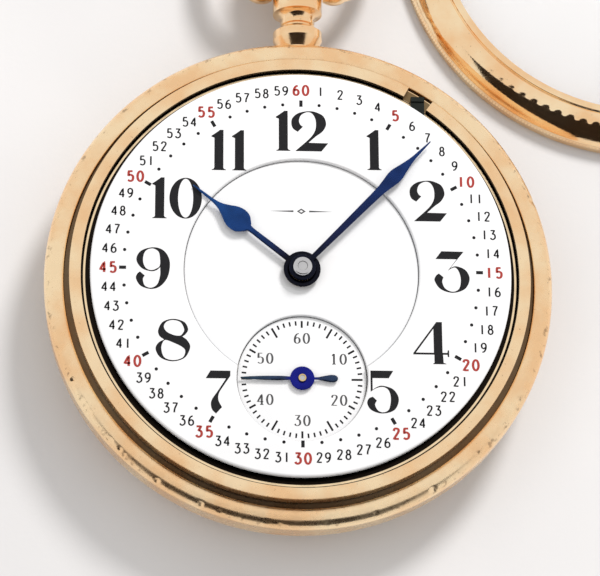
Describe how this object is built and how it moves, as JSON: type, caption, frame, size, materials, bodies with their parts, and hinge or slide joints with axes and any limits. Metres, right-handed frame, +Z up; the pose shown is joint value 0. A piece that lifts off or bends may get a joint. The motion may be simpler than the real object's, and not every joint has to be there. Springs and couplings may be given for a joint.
{
  "type": "open-face pocket watch",
  "caption": "Open-face stem-wind, lever-set pocket watch with double-sunk enamel dial, full movement, bow and crown; screw bezel with crystal lies beside it.",
  "frame": {"origin": "on the dial's axis, in the middle of the flat of the case back, at the surface it rests on", "axes": "+Z up out of the dial, +Y towards twelve o'clock and the pendant, +X towards three o'clock"},
  "size_m": [0.0896, 0.0947, 0.012],
  "materials": {
    "case_gold": "satin gold-filled, worn",
    "crystal_glass": "polished clear",
    "white_enamel": "glossy fired enamel",
    "copper": "plain",
    "blued_steel": "heat-blued, polished",
    "bright_steel": "polished",
    "train_brass": "satin",
    "balance_gold": "polished",
    "nickel_plate": "striped nickel",
    "ruby": "polished"
  },
  "bodies": {
    "case": {"case_center": "case_gold", "pendant": "case_gold", "pendant_sleeve": "bright_steel", "case_screws": "blued_steel", "pillar_plate": "nickel_plate", "train_bridge": "nickel_plate", "barrel_bridge": "nickel_plate", "balance_cock": "nickel_plate", "pallet_bridge": "nickel_plate", "plate_screws": "blued_steel", "jewels": "ruby", "dial_ring": "white_enamel", "dial_center": "white_enamel", "dial_seconds": "white_enamel", "dial_feet": "copper", "hairspring": "blued_steel", "click_spring": "bright_steel", "crown_wheel_cap": "bright_steel"},
    "back": {"case_back": "case_gold"},
    "bow": {"bow": "case_gold"},
    "crown": {"crown": "case_gold", "crown_core": "bright_steel", "winding_stem": "bright_steel", "winding_pinion": "bright_steel"},
    "clutch": {"sliding_clutch": "bright_steel"},
    "lever": {"setting_lever": "bright_steel"},
    "yoke": {"yoke": "bright_steel"},
    "crown_wheel": {"crown_wheel": "bright_steel"},
    "ratchet": {"ratchet_wheel": "bright_steel", "barrel_arbor": "bright_steel", "ratchet_screw": "blued_steel"},
    "click": {"click": "bright_steel"},
    "barrel": {"barrel": "train_brass", "barrel_cover": "train_brass", "mainspring": "bright_steel"},
    "center": {"center_wheel": "train_brass", "center_arbor": "bright_steel"},
    "third": {"third_wheel": "train_brass", "third_arbor": "bright_steel"},
    "seconds": {"fourth_wheel": "train_brass", "fourth_arbor": "bright_steel", "seconds_hand": "blued_steel"},
    "escape": {"escape_wheel": "bright_steel", "escape_arbor": "bright_steel"},
    "pallet": {"pallet_fork": "bright_steel", "pallet_jewels": "ruby"},
    "balance": {"balance_wheel": "balance_gold", "balance_screws": "balance_gold", "balance_staff": "bright_steel"},
    "regulator": {"regulator": "bright_steel"},
    "minute": {"cannon_pinion": "bright_steel", "minute_hand": "blued_steel"},
    "minute_wheel": {"minute_wheel": "train_brass", "minute_pinion": "bright_steel"},
    "hour": {"hour_wheel": "train_brass", "hour_hand": "blued_steel"},
    "setting": {"setting_wheel": "bright_steel"},
    "bezel": {"bezel": "case_gold", "crystal": "crystal_glass"}
  },
  "joints": [
    {"name": "minute_turn", "type": "hinge", "parent": "case", "child": "minute", "pos_m": [0, 0, 0.0112], "axis": [0, 0, -1], "continuous": true},
    {"name": "hour_turn", "type": "hinge", "parent": "case", "child": "hour", "pos_m": [0, 0, 0.0107], "axis": [0, 0, -1], "continuous": true},
    {"name": "minute_wheel_turn", "type": "hinge", "parent": "case", "child": "minute_wheel", "pos_m": [0, 0.0045, 0.0081], "axis": [0, 0, -1], "continuous": true},
    {"name": "setting_wheel_turn", "type": "hinge", "parent": "case", "child": "setting", "pos_m": [0, 0.01013, 0.0078], "axis": [0, 0, -1], "continuous": true},
    {"name": "seconds_turn", "type": "hinge", "parent": "case", "child": "seconds", "pos_m": [0, -0.0112, 0.0054], "axis": [0, 0, -1], "continuous": true},
    {"name": "third_turn", "type": "hinge", "parent": "case", "child": "third", "pos_m": [0.00342, -0.00633, 0.0045], "axis": [0, 0, -1], "continuous": true},
    {"name": "center_turn", "type": "hinge", "parent": "case", "child": "center", "pos_m": [0, 0, 0.0048], "axis": [0, 0, -1], "continuous": true},
    {"name": "escape_turn", "type": "hinge", "parent": "case", "child": "escape", "pos_m": [-0.00455, -0.01286, 0.006], "axis": [0, 0, -1], "continuous": true},
    {"name": "barrel_turn", "type": "hinge", "parent": "case", "child": "barrel", "pos_m": [0.0073, 0.0056, 0.0055], "axis": [0, 0, -1], "continuous": true},
    {"name": "crown_turn", "type": "hinge", "parent": "case", "child": "crown", "pos_m": [0, 0.037, 0.0057], "axis": [0, 1, 0], "continuous": true},
    {"name": "crown_wheel_turn", "type": "hinge", "parent": "case", "child": "crown_wheel", "pos_m": [0, 0.0132, 0.0026], "axis": [0, 0, -1], "continuous": true},
    {"name": "ratchet_turn", "type": "hinge", "parent": "case", "child": "ratchet", "pos_m": [0.0073, 0.0056, 0.0026], "axis": [0, 0, -1], "continuous": true},
    {"name": "lever_pull", "type": "slide", "parent": "case", "child": "lever", "axis": [0, 1, 0], "range_m": [0, 0.003]},
    {"name": "clutch_shift", "type": "slide", "parent": "crown", "child": "clutch", "axis": [0, -1, 0], "range_m": [0, 0.00052]},
    {"name": "yoke_swing", "type": "hinge", "parent": "case", "child": "yoke", "pos_m": [0.007, 0.0152, 0.0082], "axis": [0, 0, 1], "range_deg": [0, 4.6]},
    {"name": "balance_swing", "type": "hinge", "parent": "case", "child": "balance", "pos_m": [-0.011, -0.0056, 0.0038], "axis": [0, 0, -1], "range_deg": [-270, 270], "stiffness_Nm_per_rad": 0.0000052},
    {"name": "pallet_swing", "type": "hinge", "parent": "case", "child": "pallet", "pos_m": [-0.00677, -0.01035, 0.006], "axis": [0, 0, -1], "range_deg": [-5, 5]},
    {"name": "regulator_swing", "type": "hinge", "parent": "case", "child": "regulator", "pos_m": [-0.011, -0.0056, 0.0015], "axis": [0, 0, -1], "range_deg": [-15, 15]},
    {"name": "click_lift", "type": "hinge", "parent": "case", "child": "click", "pos_m": [0.0149, 0.0093, 0.0026], "axis": [0, 0, -1], "range_deg": [0, 8], "stiffness_Nm_per_rad": 0.00002},
    {"name": "bow_swing", "type": "hinge", "parent": "case", "child": "bow", "pos_m": [0, 0.0328, 0.0057], "axis": [1, 0, 0], "range_deg": [-78, 112]},
    {"name": "back_off", "type": "slide", "parent": "case", "child": "back", "axis": [0, 0, -1], "range_m": [0, 0.02]},
    {"name": "bezel_lift", "type": "slide", "parent": "case", "child": "bezel", "axis": [0, 0, 1], "range_m": [0, 0.02]}
  ],
  "couplings": [
    {"joint": "hour_turn", "follows": "minute_turn", "ratio": 0.083333},
    {"joint": "minute_wheel_turn", "follows": "minute_turn", "ratio": -0.33333},
    {"joint": "setting_wheel_turn", "follows": "minute_turn", "ratio": 0.5},
    {"joint": "third_turn", "follows": "seconds_turn", "ratio": -0.13333},
    {"joint": "center_turn", "follows": "seconds_turn", "ratio": 0.016667},
    {"joint": "escape_turn", "follows": "seconds_turn", "ratio": -10},
    {"joint": "barrel_turn", "follows": "seconds_turn", "ratio": -0.0025},
    {"joint": "crown_wheel_turn", "follows": "crown_turn", "ratio": -0.5},
    {"joint": "ratchet_turn", "follows": "crown_turn", "ratio": 0.41176},
    {"joint": "clutch_shift", "follows": "lever_pull", "ratio": 0.16667},
    {"joint": "yoke_swing", "follows": "lever_pull", "rad_per_m": 25.6}
  ]
}
